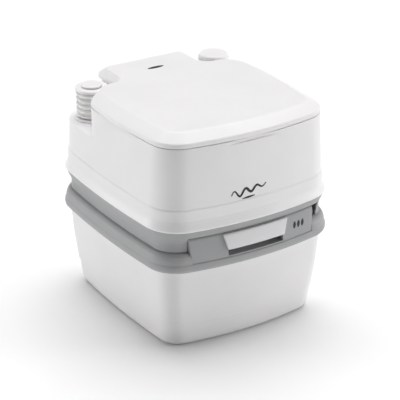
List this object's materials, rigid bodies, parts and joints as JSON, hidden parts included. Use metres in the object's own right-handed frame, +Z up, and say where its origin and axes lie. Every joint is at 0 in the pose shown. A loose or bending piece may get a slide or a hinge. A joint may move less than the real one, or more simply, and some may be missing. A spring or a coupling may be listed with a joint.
{
  "type": "cassette toilet",
  "caption": "Portable cassette toilet: grey-banded waste tank under a white flush tank with bowl, seat, lid, bellows pump and filler cap.",
  "frame": {"origin": "under the middle of the base, at floor level", "axes": "+X to the object's left as seen from behind, -Y to the front where the valve handle is, +Z up"},
  "size_m": [0.383, 0.427, 0.411],
  "materials": {
    "white_plastic": "satin moulded polyethylene",
    "white_gloss": "smooth gloss",
    "white_soft": "soft white moulded bellows",
    "pale_plastic": "satin",
    "grey_plastic": "fine grain",
    "black_rubber": "matt",
    "steel": "zinc plated"
  },
  "bodies": {
    "tank": {"waste_tank": "white_plastic", "tank_feet": "black_rubber", "tank_frame": "grey_plastic", "front_fascia": "grey_plastic", "valve_housing": "pale_plastic", "housing_screws": "steel", "outlet_seal": "black_rubber", "spout_tray": "grey_plastic", "spout_neck": "pale_plastic", "spout_neck_seal": "black_rubber", "vent_collar": "pale_plastic", "vent_spring": "steel"},
    "valve": {"valve_handle": "pale_plastic", "valve_blade": "pale_plastic", "blade_screws": "steel"},
    "spout": {"pour_spout": "grey_plastic"},
    "spout_cap_slider": {"spout_cap_seal": "black_rubber"},
    "spout_cap": {"spout_cap": "white_plastic"},
    "vent": {"vent_button": "grey_plastic"},
    "upper": {"upper_body": "white_plastic", "upper_skirt": "grey_plastic", "skirt_screws": "steel", "bowl": "white_gloss", "flush_nozzle": "pale_plastic", "flush_pipe": "pale_plastic", "hinge_pins": "steel", "pump_collar": "white_plastic", "pump_bellows": "white_soft", "pump_dip_tube": "pale_plastic", "filler_neck": "white_plastic", "latch_pin": "steel", "latch_springs": "steel"},
    "pump": {"pump_head": "white_plastic", "pump_knob": "white_plastic"},
    "filler_cap_slider": {"filler_cap_seal": "black_rubber"},
    "filler_cap": {"filler_cap": "white_plastic"},
    "latch": {"latch_lever": "grey_plastic"},
    "seat": {"seat_ring": "white_gloss", "seat_bumpers": "black_rubber"},
    "lid": {"lid_shell": "white_plastic", "lid_bumpers": "black_rubber"}
  },
  "joints": [
    {"name": "valve_slide", "type": "slide", "parent": "tank", "child": "valve", "axis": [0, -1, 0], "range_m": [0, 0.105]},
    {"name": "spout_swing", "type": "hinge", "parent": "tank", "child": "spout", "pos_m": [-0.038, 0.15, 0.19], "axis": [0, 0, -1], "range_deg": [0, 90]},
    {"name": "spout_cap_off", "type": "slide", "parent": "spout", "child": "spout_cap_slider", "axis": [-1, 0, 0], "range_m": [0, 0.018]},
    {"name": "spout_cap_turn", "type": "hinge", "parent": "spout_cap_slider", "child": "spout_cap", "pos_m": [-0.115, 0.15, 0.19], "axis": [-1, 0, 0], "range_deg": [0, 540]},
    {"name": "vent_press", "type": "slide", "parent": "tank", "child": "vent", "axis": [0, 0, -1], "range_m": [0, 0.004], "stiffness_N_per_m": 300, "springref_m": -0.002, "deforming": ["vent_spring"]},
    {"name": "upper_lift", "type": "slide", "parent": "tank", "child": "upper", "axis": [0, 0, 1], "range_m": [0, 0.12]},
    {"name": "pump_press", "type": "slide", "parent": "upper", "child": "pump", "axis": [0, 0, -1], "range_m": [0, 0.03], "stiffness_N_per_m": 300, "springref_m": -0.005, "deforming": ["pump_bellows"]},
    {"name": "filler_cap_lift", "type": "slide", "parent": "upper", "child": "filler_cap_slider", "axis": [0, 0, 1], "range_m": [0, 0.014]},
    {"name": "filler_cap_turn", "type": "hinge", "parent": "filler_cap_slider", "child": "filler_cap", "pos_m": [0.1345, 0.143, 0.39], "axis": [0, 0, 1], "range_deg": [0, 540]},
    {"name": "latch_pull", "type": "hinge", "parent": "upper", "child": "latch", "pos_m": [0.085, 0.194, 0.216], "axis": [1, 0, 0], "range_deg": [0, 14], "stiffness_Nm_per_rad": 0.5, "springref_deg": -5.73},
    {"name": "seat_hinge", "type": "hinge", "parent": "upper", "child": "seat", "pos_m": [0, 0.19, 0.391], "axis": [1, 0, 0], "range_deg": [-95, 0]},
    {"name": "lid_hinge", "type": "hinge", "parent": "seat", "child": "lid", "pos_m": [0, 0.19, 0.391], "axis": [-1, 0, 0], "range_deg": [0, 100]}
  ],
  "couplings": [
    {"joint": "spout_cap_turn", "follows": "spout_cap_off", "rad_per_m": 523.5},
    {"joint": "filler_cap_turn", "follows": "filler_cap_lift", "rad_per_m": 673}
  ]
}
